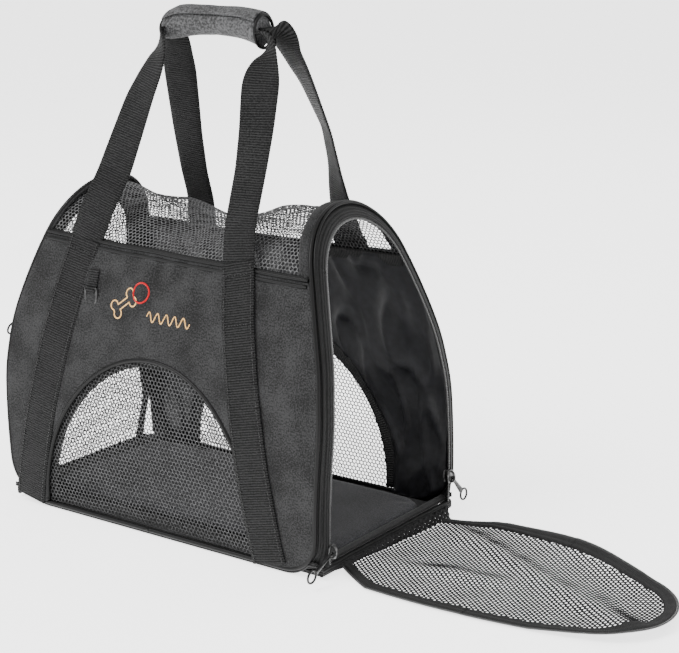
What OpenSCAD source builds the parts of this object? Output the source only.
// Soft-sided pet carrier bag: two arched ends on hoops, mesh doors that open down on zips,
// woven side panels with mesh windows, a mesh crown, webbing straps and a padded grip.
// X runs along the bag, Y from front to back, Z up; the origin is the middle of the base, underneath.

/* [Bag body] */
// Width of the bag across its widest part, front to back
bag_w = 224; // [200:1:250]
// Height of the arched ends
bag_h = 314; // [300:1:325]
// Radius of the arch's crown
crown_r = 76; // [68:1:84]
// Height at which the arch is widest
widest_z = 40; // [25:1:50]
// Thickness of the side panels' cloth and foam
panel_t = 1.4; // [1:0.1:1.8]
// Thickness of the lining behind a panel
lining_t = 0.6; // [0.4:0.1:0.8]
// Thickness of the mesh sheets
mesh_t = 0.8; // [0.5:0.1:1]

/* [Ends] */
// Height at which both ends bend inward
bend_z = 158; // [150:1:166]
// Foot of the right end, from the middle of the bag
right_foot_x = 197; // [192:1:202]
// Right end at its bend
right_bend_x = 197; // [192:1:202]
// Top of the right end
right_top_x = 145; // [138:1:152]
// Foot of the left end, from the middle of the bag
left_foot_x = 176; // [170:1:184]
// Left end at its bend, where it bulges most
left_bend_x = 191; // [186:1:196]
// Top of the left end
left_top_x = 141; // [134:1:148]

/* [Zips and doors] */
// Distance from the outline of an end to the zip's gap
zip_inset = 14; // [13:0.5:15]
// Width of the gap between the two halves of a zip
zip_gap = 4; // [3.8:0.1:4.4]
// Width of a zip's row of teeth
coil_w = 2.4; // [2:0.1:2.6]
// Width of a door's edge binding
binding_w = 12; // [9:0.5:14]
// Thickness of a door
door_t = 2.4; // [2:0.1:2.6]
// Height of a door's hinge line above the floor
hinge_z = 7; // [6.8:0.1:7.2]
// Length of the soft hinge between the sill and a door
hinge_len = 8; // [7:0.5:10]

/* [Windows] */
// Half the width of a window at its base
window_half_w = 128; // [115:1:130]
// Height of a window's top
window_h = 166; // [150:1:175]
// Width of the piping round a window
window_piping_w = 3.6; // [3:0.1:4.5]

/* [Straps and grip] */
// Width of the webbing
webbing_w = 37; // [34:1:40]
// Thickness of the webbing
webbing_t = 1.6; // [1.2:0.1:2]
// Middle of the left straps at the base
left_strap_foot_x = -154; // [-158:1:-148]
// Middle of the left straps at the seam
left_strap_seam_x = -103; // [-108:1:-98]
// Middle of the right straps at the base
right_strap_foot_x = 147; // [140:1:150]
// Middle of the right straps at the seam
right_strap_seam_x = 83; // [78:1:90]
// Height of the grip's middle
grip_z = 470; // [450:1:480]
// Length of the grip
grip_len = 120; // [110:1:130]
// Outer radius of the padded grip
grip_r = 15; // [14:0.5:17]

/* [Base and pad] */
// Thickness of the stiff board in the base
board_t = 3; // [2:0.1:3.2]
// Thickness of the removable floor pad
pad_t = 10; // [6:1:10]
// Width of the removable floor pad
pad_w = 174; // [160:1:176]

/* [Hardware] */
// Length of a zip slider
slider_len = 13; // [11:0.5:14]
// Width of a zip slider
slider_w = 9; // [8:0.5:10]
// Length of a zip pull from its pivot to the far end of its ring
pull_len = 40; // [34:1:42]
// Wire diameter of the rings
ring_wire = 2; // [1.6:0.1:2.4]

/* [Hidden] */
gap = 0.2;               // clearance between neighbouring soft layers
base_t = 1.5;            // bottom skin
side_steps = 14;         // straight pieces along a side of the arch
crown_steps = 18;        // straight pieces round the crown
long = 900;              // longer than the bag, for cutting solids
hoop_wire_t = 1.6;       // square section that stands for the hoop's spring wire
piping_w = 4;            // width of the piping round an end
panel_end_gap = 4.2;     // a panel stops this far inside the end's outline
hoop_wire_deep = 1;      // depth of the wire below the outer face of an end
sill_t = 3;              // thickness of the sill at the foot of an end
grip_mid_x = -2;         // middle of the grip along the bag
grip_wall = 1.4;         // cover of the grip
flap_t = 1.2;            // flap that closes the grip
webbing_core_w = 10;     // folded webbing inside the grip
webbing_core_t = 5.6;

crown_z = bag_h - crown_r;
side_c = (pow(crown_z - widest_z, 2) - pow(bag_w / 2 - crown_r, 2)) / (2 * (bag_w / 2 - crown_r));
side_r = side_c + bag_w / 2;
seam_angle = asin((crown_z - widest_z) / (side_r - crown_r));
foot_angle = asin(-widest_z / side_r);
seam_y = crown_r * cos(seam_angle);
seam_z = crown_z + crown_r * sin(seam_angle);
shell_z0 = base_t + gap;
door_inset = zip_inset + zip_gap;
coil_inset = zip_inset - coil_w;
gap_inset = zip_inset + zip_gap / 2;
top_cut = bag_h + 20;
foot_cut = -10;

// ---- the arch, drawn in Y and Z -------------------------------------------------------------

// Half width of the arch, inset by a distance, at a height
function half_width(z, inset) =
    z < crown_z + (crown_r - inset) * sin(seam_angle)
        ? sqrt(pow(side_r - inset, 2) - pow(z - widest_z, 2)) - side_c
        : sqrt(max(0, pow(crown_r - inset, 2) - pow(z - crown_z, 2)));

function side_point(a, inset) =
    [(side_r - inset) * cos(a) - side_c, (side_r - inset) * sin(a) + widest_z];

function crown_point(a, inset) = [(crown_r - inset) * cos(a), (crown_r - inset) * sin(a) + crown_z];

// One side of the arch, from the foot to the seam
function side_line(inset) =
    [for (i = [0:side_steps]) side_point(foot_angle + (seam_angle - foot_angle) * i / side_steps, inset)];

// The crown, from one seam to the other
function crown_line(inset) =
    [for (i = [0:crown_steps]) crown_point(seam_angle + (180 - 2 * seam_angle) * i / crown_steps, inset)];

function mirrored(points) = [for (i = [len(points) - 1:-1:0]) [-points[i][0], points[i][1]]];
function reversed(points) = [for (i = [len(points) - 1:-1:0]) points[i]];
function inner_crown(inset) = let (c = crown_line(inset)) [for (i = [1:len(c) - 2]) c[i]];
function arch_line(inset) = concat(side_line(inset), inner_crown(inset), mirrored(side_line(inset)));

// A band of the arch between two insets: a side, the crown or the whole arch
module side_band(outer, inner) {
    polygon(concat(side_line(outer), reversed(side_line(inner))));
}
module crown_band(outer, inner) {
    polygon(concat(crown_line(outer), reversed(crown_line(inner))));
}
module arch_band(outer, inner) {
    polygon(concat(arch_line(outer), reversed(arch_line(inner))));
}

// ---- the ends, drawn in X and Z -------------------------------------------------------------

function lerp(a, b, t) = a + (b - a) * t;
function end_x(foot, bend, top, z) =
    z < bend_z ? lerp(foot, bend, z / bend_z) : lerp(bend, top, (z - bend_z) / (bag_h - bend_z));
function right_x(z) = end_x(right_foot_x, right_bend_x, right_top_x, z);
function left_x(z) = -end_x(left_foot_x, left_bend_x, left_top_x, z);
function side_x(side, z) = side > 0 ? right_x(z) : left_x(z);

// Everything between the two ends, drawn in by an inset
module between_ends(inset) {
    polygon([for (z = [foot_cut, bend_z, top_cut]) [right_x(z) - inset, z],
             for (z = [top_cut, bend_z, foot_cut]) [left_x(z) + inset, z]]);
}

// A layer along one end, from one distance outside its outline to another
module end_layer(side, low, high) {
    polygon([for (z = [foot_cut, bend_z, top_cut]) [side_x(side, z) + side * high, z],
             for (z = [top_cut, bend_z, foot_cut]) [side_x(side, z) + side * low, z]]);
}

// ---- placing flat drawings ------------------------------------------------------------------

// A drawing in Y and Z, made long along X
module along_x(length = long) {
    rotate([90, 0, 90]) linear_extrude(length, center = true) children();
}
// A drawing in X and Z, made long along Y
module along_y(length = long) {
    rotate([90, 0, 0]) linear_extrude(length, center = true) children();
}
// Everything above a height
module above(z) {
    translate([-long / 2, -long / 2, z]) cube([long, long, long]);
}
// Front is side -1 and back is side 1
module on_side(side) {
    if (side < 0) mirror([0, 1, 0]) children();
    else children();
}

// ---- base -----------------------------------------------------------------------------------

module base_plate(x_gap, y_half, z0, thick) {
    translate([left_x(0) + x_gap, -y_half, z0])
        cube([right_x(0) - left_x(0) - 2 * x_gap, 2 * y_half, thick]);
}

module base_fabric() {
    color("#1e1e1f") base_plate(0.5, bag_w / 2 - 2, 0, base_t);
}

module base_board() {
    color("#6b6a66") base_plate(panel_end_gap + 1, bag_w / 2 - 8, shell_z0, board_t);
}

module floor_pad() {
    color("#3f4143") translate([0, 0, hinge_z + gap])
        linear_extrude(pad_t) translate([left_x(0) + 14, -pad_w / 2])
            square([right_x(0) - left_x(0) - 22, pad_w]);
}

// ---- side panels ----------------------------------------------------------------------------

// Half an ellipse standing on the base line, in X and Z
module window_shape(grow) {
    intersection() {
        polygon([for (a = [0:6:180]) [(window_half_w + grow) * cos(a), (window_h + grow) * sin(a)]]);
        translate([-long / 2, 0]) square([long, long]);
    }
}

// A layer of a side between two insets from the arch's outline
module side_layer(outer, inner, end_inset) {
    intersection() {
        along_x() side_band(outer, inner);
        along_y() between_ends(end_inset);
        above(shell_z0);
    }
}

module panel(side) {
    on_side(side) difference() {
        side_layer(0, panel_t, panel_end_gap);
        along_y() window_shape(0);
    }
}
module front_panel() {
    color("#3a3a3b") panel(-1);
}
module back_panel() {
    color("#3a3a3b") panel(1);
}

module lining(side) {
    on_side(side) difference() {
        side_layer(panel_t + gap, panel_t + gap + lining_t, panel_end_gap);
        along_y() window_shape(0);
    }
}
module front_lining() {
    color("#17191a") lining(-1);
}
module back_lining() {
    color("#17191a") lining(1);
}

module window_mesh(side) {
    on_side(side) intersection() {
        side_layer(0.4, 0.4 + mesh_t, panel_end_gap);
        along_y() window_shape(-gap);
    }
}
module front_window_mesh() {
    color("#55585a") window_mesh(-1);
}
module back_window_mesh() {
    color("#55585a") window_mesh(1);
}

module window_piping(side) {
    on_side(side) intersection() {
        along_x() side_band(-gap - 1.8, -gap);
        along_y() difference() {
            window_shape(window_piping_w / 2);
            window_shape(-window_piping_w / 2);
        }
        above(shell_z0);
    }
}
module front_window_piping() {
    color("#161617") window_piping(-1);
}
module back_window_piping() {
    color("#161617") window_piping(1);
}

// ---- crown ----------------------------------------------------------------------------------

module top_mesh() {
    color("#6d7072") intersection() {
        along_x() crown_band(0.2, 0.2 + mesh_t);
        along_y() between_ends(panel_end_gap);
    }
}

module seam_piping(side) {
    reach = 2.4;
    on_side(side) intersection() {
        translate([0, seam_y + 2.1, seam_z]) rotate([0, 90, 0])
            cylinder(h = long, r = 1.7, center = true, $fn = 32);
        along_y() between_ends(panel_end_gap + reach);
    }
}
module front_seam_piping() {
    color("#161617") seam_piping(-1);
}
module back_seam_piping() {
    color("#161617") seam_piping(1);
}

// ---- ends -----------------------------------------------------------------------------------

// Part of an end: a band of the arch that lies in a layer of the end's outline
module end_part(side, outer, inner, low, high) {
    intersection() {
        along_x() arch_band(outer, inner);
        along_y() end_layer(side, low, high);
        above(shell_z0);
    }
}

module hoop_piping(side) {
    difference() {
        end_part(side, -1, piping_w - 1, -piping_w, 0.4);
        end_part(side, (piping_w - hoop_wire_t) / 2 - 1 - gap, piping_w,
                 -hoop_wire_deep - hoop_wire_t - gap, -hoop_wire_deep + gap);
    }
}
module hoop_wire(side) {
    end_part(side, (piping_w - hoop_wire_t) / 2 - 1, (piping_w + hoop_wire_t) / 2 - 1,
             -hoop_wire_deep - hoop_wire_t, -hoop_wire_deep);
}
module zip_tape(side) {
    end_part(side, piping_w - 1 + gap, coil_inset - 0.1, -1.4, -0.2);
}
module zip_coil(side) {
    end_part(side, coil_inset, zip_inset, -1.8, 0.8);
}
// Low wall across the foot of an end, with the soft hinge sewn to it
module sill(side) {
    half = half_width(shell_z0, zip_inset + gap);
    intersection() {
        along_y(2 * half) end_layer(side, -sill_t, 0);
        translate([-long / 2, -long / 2, shell_z0]) cube([long, long, hinge_z - shell_z0]);
    }
}

module right_hoop_wire() {
    color("#8b8d8f") hoop_wire(1);
}
module right_hoop_piping() {
    color("#161617") hoop_piping(1);
}
module right_zip_tape() {
    color("#222324") zip_tape(1);
}
module right_zip_coil() {
    color("#101011") zip_coil(1);
}
module right_sill() {
    color("#1b1b1c") sill(1);
}
module left_hoop_wire() {
    color("#8b8d8f") hoop_wire(-1);
}
module left_hoop_piping() {
    color("#161617") hoop_piping(-1);
}
module left_zip_tape() {
    color("#222324") zip_tape(-1);
}
module left_zip_coil() {
    color("#101011") zip_coil(-1);
}
module left_sill() {
    color("#1b1b1c") sill(-1);
}

// ---- doors ----------------------------------------------------------------------------------

// A door is drawn flat: S runs from the hinge line up the closed door, and Y across it.
// Its lower half stands in the lower plane of the end, and its top half in the upper plane.
function foot_dx(side) = side > 0 ? right_bend_x - right_foot_x : left_bend_x - left_foot_x;
function top_dx(side) = side > 0 ? right_top_x - right_bend_x : left_top_x - left_bend_x;
function lower_lean(side) = atan(foot_dx(side) / bend_z);
function upper_lean(side) = atan(top_dx(side) / (bag_h - bend_z));
function fold_s(side) = (bend_z - hinge_z) / cos(lower_lean(side));
function s_at(side, z) =
    z < bend_z ? (z - hinge_z) / cos(lower_lean(side))
               : fold_s(side) + (z - bend_z) / cos(upper_lean(side));

// A door narrows towards its hinge, so that it swings clear of the sliders parked at the foot
taper_w = 16;
taper_len = 44;
function taper(s) = taper_w * max(0, 1 - (s - hinge_len) / taper_len);
function door_half(side, z, inset) = half_width(z, inset) - taper(s_at(side, z));

// Lower half of a door, narrowed by an inset
module door_lower_shape(side, inset, start) {
    steps = 12;
    heights = [for (i = [0:steps]) lerp(hinge_z + start * cos(lower_lean(side)), bend_z, i / steps)];
    polygon(concat([for (z = heights) [s_at(side, z), door_half(side, z, inset)]],
                   [for (z = reversed(heights)) [s_at(side, z), -door_half(side, z, inset)]]));
}
// Top half of a door, narrowed by an inset
module door_upper_shape(side, inset) {
    line = [for (p = arch_line(inset)) if (p[1] > bend_z + 1) p];
    y0 = half_width(bend_z, inset);
    polygon(concat([[fold_s(side), y0]], [for (p = line) [s_at(side, p[1]), p[0]]],
                   [[fold_s(side), -y0]]));
}
fold_gap = 0.5;
module lower_limit(side) {
    translate([0, -long / 2]) square([fold_s(side) - fold_gap, long]);
}
module upper_limit(side) {
    translate([fold_s(side) + fold_gap, -long / 2]) square([long, long]);
}

// Flat drawings of the pieces of a door
module lower_ring(side, outer, inner) {
    intersection() {
        difference() {
            door_lower_shape(side, door_inset + outer, hinge_len + outer);
            door_lower_shape(side, door_inset + inner, hinge_len + inner);
        }
        lower_limit(side);
    }
}
module lower_sheet(side, inset) {
    intersection() {
        door_lower_shape(side, door_inset + inset, hinge_len + inset);
        lower_limit(side);
    }
}
module upper_ring(side, outer, inner) {
    intersection() {
        difference() {
            door_upper_shape(side, door_inset + outer);
            door_upper_shape(side, door_inset + inner);
        }
        upper_limit(side);
    }
}
module upper_sheet(side, inset) {
    intersection() {
        door_upper_shape(side, door_inset + inset);
        upper_limit(side);
    }
}
// The teeth run up the two sides of a door, and not along its hinge
module lower_teeth(side) {
    intersection() {
        difference() {
            door_lower_shape(side, door_inset, hinge_len);
            door_lower_shape(side, door_inset + coil_w, hinge_len - 1);
        }
        lower_limit(side);
    }
}

// The right door lies open on the floor, a little askew because its hinge is soft.
// It closes about one line, tilted by half the skew, that passes just inside the hinge line.
right_skew = -6;
door_mid = 0.6;          // a closed door's middle layer lies this far inside the end's outline
door_rest_z = door_t / 2 + gap;
hinge_drop = hinge_z - door_rest_z;
right_closed_x = right_x(hinge_z) - door_mid;
door_foot_half = door_half(1, hinge_z + hinge_len, door_inset);
right_open_x = right_closed_x - hinge_drop - door_foot_half * sin(right_skew);
right_open_y = tan(right_skew / 2) * (hinge_drop - right_closed_x + right_open_x);
module right_open() {
    translate([right_open_x, right_open_y, door_rest_z - door_t / 2]) rotate([0, 0, right_skew])
        linear_extrude(door_t) children();
}

// The left door is closed: its lower half leans out and its top half leans in
module left_lower_closed() {
    translate([left_x(hinge_z) + door_mid, 0, hinge_z]) rotate([0, -90 - lower_lean(-1), 0])
        translate([0, 0, -door_t / 2]) linear_extrude(door_t) children();
}
module left_upper_closed() {
    translate([left_x(bend_z) + door_mid, 0, bend_z]) rotate([0, -90 - upper_lean(-1), 0])
        translate([-fold_s(-1), 0, -door_t / 2]) linear_extrude(door_t) children();
}

module right_door_mesh() {
    color("#55585a") right_open() lower_sheet(1, binding_w + 0.1);
}
module right_door_binding() {
    color("#1a1a1a") right_open() difference() {
        lower_ring(1, 0, binding_w);
        lower_teeth(1);
    }
}
module right_door_coil() {
    color("#101011") right_open() intersection() {
        lower_teeth(1);
        lower_sheet(1, 0);
    }
}
module right_door_top_mesh() {
    color("#55585a") right_open() upper_sheet(1, binding_w + 0.1);
}
module right_door_top_binding() {
    color("#1a1a1a") right_open() upper_ring(1, coil_w, binding_w);
}
module right_door_top_coil() {
    color("#101011") right_open() upper_ring(1, 0, coil_w);
}
module left_door_mesh() {
    color("#55585a") left_lower_closed() lower_sheet(-1, binding_w + 0.1);
}
module left_door_binding() {
    color("#1a1a1a") left_lower_closed() difference() {
        lower_ring(-1, 0, binding_w);
        lower_teeth(-1);
    }
}
module left_door_coil() {
    color("#101011") left_lower_closed() intersection() {
        lower_teeth(-1);
        lower_sheet(-1, 0);
    }
}
module left_door_top_mesh() {
    color("#55585a") left_upper_closed() upper_sheet(-1, binding_w + 0.1);
}
module left_door_top_binding() {
    color("#1a1a1a") left_upper_closed() upper_ring(-1, coil_w, binding_w);
}
module left_door_top_coil() {
    color("#101011") left_upper_closed() upper_ring(-1, 0, coil_w);
}

// ---- zip sliders and pulls ------------------------------------------------------------------

// A slider stands on its zip's gap: X points out of the bag, Z up along the zip, and Y across it.
// A round post joins its two plates through the gap, and a lug on the outer plate holds the pull's pin.
plate_t = 1.6;
slider_out = 3.5;        // the plates sit this far from the post, away from the door
outer_plate_x = 1.8;
inner_plate_x = -2.8;
pin_x = 6.2;
pin_z = -3.5;
pin_r = 0.8;
pin_len = 6.2;
post_r = 0.9;
lug_y = 2.6;             // middle of each lug, off the slider's middle
lug_t = 1.2;
lug_h = 3.6;

module slider_body() {
    plate = [plate_t, slider_w, slider_len];
    difference() {
        union() {
            for (x = [outer_plate_x, inner_plate_x - plate_t])
                translate([x, slider_out - slider_w / 2, -slider_len / 2]) cube(plate);
            rotate([0, 90, 0]) translate([0, 0, inner_plate_x - 0.1])
                cylinder(h = outer_plate_x - inner_plate_x + 0.2, r = post_r, $fn = 24);
            for (s = [-1, 1])
                translate([outer_plate_x + plate_t - 0.1,
                        slider_out + s * lug_y - lug_t / 2, pin_z - lug_h / 2])
                    cube([pin_x - outer_plate_x + 0.2, lug_t, lug_h]);
        }
        translate([pin_x, slider_out, pin_z]) rotate([90, 0, 0])
            cylinder(h = 20, r = pin_r + 0.05, center = true, $fn = 24);
    }
}

// The pull hangs from its pin: an arm with a wire ring at its far end
ring_r = 5;
pull_arm_w = 3.4;
pull_arm_t = 1.4;
module pull_body() {
    arm_len = pull_len - 2 * ring_r - 1;
    rotate([90, 0, 0]) cylinder(h = pin_len, r = pin_r, center = true, $fn = 24);
    translate([-pull_arm_t / 2, -pull_arm_w / 2, -arm_len]) cube([pull_arm_t, pull_arm_w, arm_len]);
    translate([0, 0, -arm_len - ring_r + 1]) rotate([0, 90, 0])
        rotate_extrude($fn = 36) translate([ring_r - ring_wire / 2, 0]) circle(r = ring_wire / 2, $fn = 16);
}

module pull_on_slider() {
    translate([pin_x, slider_out, pin_z]) pull_body();
}

// Slope of a zip's gap in the end's plane, from upright
function zip_slope(side, z) = let (lean = z < bend_z ? lower_lean(side) : upper_lean(side))
    atan(tan(asin((z - widest_z) / (side_r - gap_inset))) * cos(lean));

// The right sliders start at the foot of the zip and run up its straight lower part.
// The run is a chord of the gap's curve, moved out by half the curve's height over it.
travel = 90;
travel_bow = travel * travel / (16 * (side_r - gap_inset));
right_front_z = 22;
right_front_turn = 66;
right_back_z = 36;
right_back_turn = 40;
module at_right_slider(z) {
    translate([right_x(z) - door_mid, half_width(z, gap_inset) + travel_bow, z])
        rotate([zip_slope(1, z + travel / 2), 0, 0]) children();
}
module at_right_front() {
    mirror([0, 1, 0]) at_right_slider(right_front_z) rotate([right_front_turn, 0, 0]) children();
}
module at_right_back() {
    at_right_slider(right_back_z) rotate([right_back_turn, 0, 0]) children();
}
module right_front_slider() {
    color("#2b2c2d") at_right_front() slider_body();
}
module right_front_pull() {
    color("#2b2c2d") at_right_front() pull_on_slider();
}
module right_back_slider() {
    color("#2b2c2d") at_right_back() slider_body();
}
module right_back_pull() {
    color("#2b2c2d") at_right_back() pull_on_slider();
}

// The left sliders are parked together on the front edge, on the leaning upper part.
// The upper one is the other way up, so its pull lies up along the zip.
left_lower_z = 196;
left_upper_z = 216;
module at_left_slider(z) {
    mirror([0, 1, 0]) translate([left_x(z) + door_mid, half_width(z, gap_inset), z])
        rotate([0, -upper_lean(-1), 0]) rotate([zip_slope(-1, z), 0, 0]) mirror([1, 0, 0]) children();
}
module left_lower_slider() {
    color("#2b2c2d") at_left_slider(left_lower_z) slider_body();
}
module left_lower_pull() {
    color("#2b2c2d") at_left_slider(left_lower_z) pull_on_slider();
}
module left_upper_slider() {
    color("#2b2c2d") at_left_slider(left_upper_z) mirror([0, 0, 1]) slider_body();
}
module left_upper_pull() {
    color("#2b2c2d") at_left_slider(left_upper_z) mirror([0, 0, 1]) pull_on_slider();
}

// ---- straps ---------------------------------------------------------------------------------

strap_top_z = seam_z - 3;
// Slanting strip of webbing in X and Z
module strap_shape(foot_x, top_x) {
    z0 = shell_z0;
    polygon([[foot_x - webbing_w / 2, z0], [foot_x + webbing_w / 2, z0],
             [top_x + webbing_w / 2, strap_top_z], [top_x - webbing_w / 2, strap_top_z]]);
}
strap_out = gap + 1.8 + gap;
module strap(side, foot_x, top_x) {
    on_side(side) intersection() {
        along_x() side_band(-strap_out - webbing_t, -strap_out);
        along_y() strap_shape(foot_x, top_x);
        above(shell_z0);
    }
}
module front_left_strap() {
    color("#2f2f30") strap(-1, left_strap_foot_x, left_strap_seam_x);
}
module front_right_strap() {
    color("#2f2f30") strap(-1, right_strap_foot_x, right_strap_seam_x);
}
module back_left_strap() {
    color("#2f2f30") strap(1, left_strap_foot_x, left_strap_seam_x);
}
module back_right_strap() {
    color("#2f2f30") strap(1, right_strap_foot_x, right_strap_seam_x);
}

// Free leg of a strap, from the seam to the grip
leg_z0 = seam_z + 4;
leg_z1 = grip_z - grip_r - 2.5;
leg_top_w = 20;
module leg(side, foot_x, top_x) {
    on_side(side) hull() {
        translate([foot_x - webbing_w / 2, seam_y + strap_out + 2, leg_z0]) cube([webbing_w, webbing_t, 1]);
        translate([top_x - leg_top_w / 2, 6, leg_z1 - 1]) cube([leg_top_w, webbing_t, 1]);
    }
}
left_leg_top_x = grip_mid_x - grip_len / 2 + leg_top_w / 2;
right_leg_top_x = grip_mid_x + grip_len / 2 - leg_top_w / 2;
module front_left_leg() {
    color("#2f2f30") leg(-1, left_strap_seam_x, left_leg_top_x);
}
module front_right_leg() {
    color("#2f2f30") leg(-1, right_strap_seam_x, right_leg_top_x);
}
module back_left_leg() {
    color("#2f2f30") leg(1, left_strap_seam_x, left_leg_top_x);
}
module back_right_leg() {
    color("#2f2f30") leg(1, right_strap_seam_x, right_leg_top_x);
}

// ---- rings for a shoulder strap -------------------------------------------------------------

// Each hangs from a short webbing loop beside a strap, on opposite corners of the bag
d_ring_z = 222;
d_ring_w = 14;
d_ring_h = 22;
d_ring_front_x = -84;
d_ring_back_x = 65;
d_ring_out = 2.5;        // the ring's plane stands this far off the panel
tab_w = 7;
tab_t = 1;
tab_out = 2 * d_ring_out - gap;
d_ring_lean = asin((d_ring_z - widest_z) / side_r);
module at_d_ring(side, x) {
    on_side(side) translate([x, half_width(d_ring_z, 0), d_ring_z]) rotate([d_ring_lean, 0, 0]) children();
}
tab_below = 2;           // the loop reaches this far below the ring's bar
tab_len = 12;
tab_front_len = 6;
tab_fold_z = 3.4;        // underside of the fold above the bar
// A loop of webbing sewn flat to the panel, with the ring's bar inside it
module d_ring_tab() {
    translate([-tab_w / 2, gap, -tab_below]) cube([tab_w, tab_t, tab_len]);
    translate([-tab_w / 2, gap, tab_fold_z]) cube([tab_w, tab_out - gap, tab_t]);
    translate([-tab_w / 2, tab_out - tab_t, -tab_below]) cube([tab_w, tab_t, tab_front_len]);
}
module d_ring_body() {
    half = d_ring_w / 2 - ring_wire / 2;
    straight = d_ring_h - d_ring_w / 2;
    for (s = [-1, 1]) {
        translate([s * half, 0, -straight]) cylinder(h = straight, r = ring_wire / 2, $fn = 20);
        translate([s * half, 0, 0]) sphere(r = ring_wire / 2, $fn = 20);
    }
    rotate([0, 90, 0]) cylinder(h = 2 * half, r = ring_wire / 2, center = true, $fn = 20);
    translate([0, 0, -straight]) rotate([90, 0, 0]) intersection() {
        rotate_extrude($fn = 40) translate([half, 0]) circle(r = ring_wire / 2, $fn = 20);
        translate([-50, -100, -50]) cube([100, 100, 100]);
    }
}
module d_ring_front() {
    color("#8b8d8f") at_d_ring(-1, d_ring_front_x) translate([0, d_ring_out, 0]) d_ring_body();
}
module d_ring_back() {
    color("#8b8d8f") at_d_ring(1, d_ring_back_x) translate([0, d_ring_out, 0]) d_ring_body();
}
module d_ring_tabs() {
    color("#2f2f30") {
        at_d_ring(-1, d_ring_front_x) d_ring_tab();
        at_d_ring(1, d_ring_back_x) d_ring_tab();
    }
}

// ---- grip -----------------------------------------------------------------------------------

module grip_tube(length, outer, inner) {
    translate([grip_mid_x, 0, grip_z]) rotate([0, 90, 0]) difference() {
        cylinder(h = length, r = outer, center = true, $fn = 64);
        cylinder(h = length + 2, r = inner, center = true, $fn = 64);
    }
}
module grip_wrap() {
    color("#3c3c3d") grip_tube(grip_len, grip_r, grip_r - grip_wall);
}
module grip_padding() {
    color("#4a4a4c") grip_tube(grip_len - 4, grip_r - grip_wall - gap, 8.2);
}
module grip_webbing() {
    color("#2f2f30") for (s = [-1, 1])
        translate([grip_mid_x - grip_len / 2 + 1,
                s > 0 ? 0.2 : -0.2 - webbing_core_t, grip_z - webbing_core_w / 2])
            cube([grip_len - 2, webbing_core_t, webbing_core_w]);
}
flap_start = 20;
flap_span = 95;
flap_end_gap = 8;
// The flap lies over the front of the grip, from near its top edge down
module grip_flap() {
    color("#3c3c3d") translate([grip_mid_x, 0, grip_z]) rotate([0, 90, 0])
        linear_extrude(grip_len - 2 * flap_end_gap, center = true) intersection() {
            difference() {
                circle(r = grip_r + gap + flap_t, $fn = 64);
                circle(r = grip_r + gap, $fn = 64);
            }
            polygon(concat([[0, 0]], [for (i = [0:6]) 40 * [-cos(flap_start + flap_span * i / 6),
                                                            -sin(flap_start + flap_span * i / 6)]]));
        }
}

base_fabric();
base_board();
floor_pad();
front_panel();
back_panel();
front_lining();
back_lining();
front_window_mesh();
back_window_mesh();
front_window_piping();
back_window_piping();
top_mesh();
front_seam_piping();
back_seam_piping();
right_hoop_wire();
right_hoop_piping();
right_zip_tape();
right_zip_coil();
right_sill();
left_hoop_wire();
left_hoop_piping();
left_zip_tape();
left_zip_coil();
left_sill();
front_left_strap();
front_right_strap();
back_left_strap();
back_right_strap();
front_left_leg();
front_right_leg();
back_left_leg();
back_right_leg();
d_ring_tabs();
d_ring_front();
d_ring_back();
right_door_mesh();
right_door_binding();
right_door_coil();
right_door_top_mesh();
right_door_top_binding();
right_door_top_coil();
left_door_mesh();
left_door_binding();
left_door_coil();
left_door_top_mesh();
left_door_top_binding();
left_door_top_coil();
right_front_slider();
right_front_pull();
right_back_slider();
right_back_pull();
left_lower_slider();
left_lower_pull();
left_upper_slider();
left_upper_pull();
grip_wrap();
grip_padding();
grip_webbing();
grip_flap();
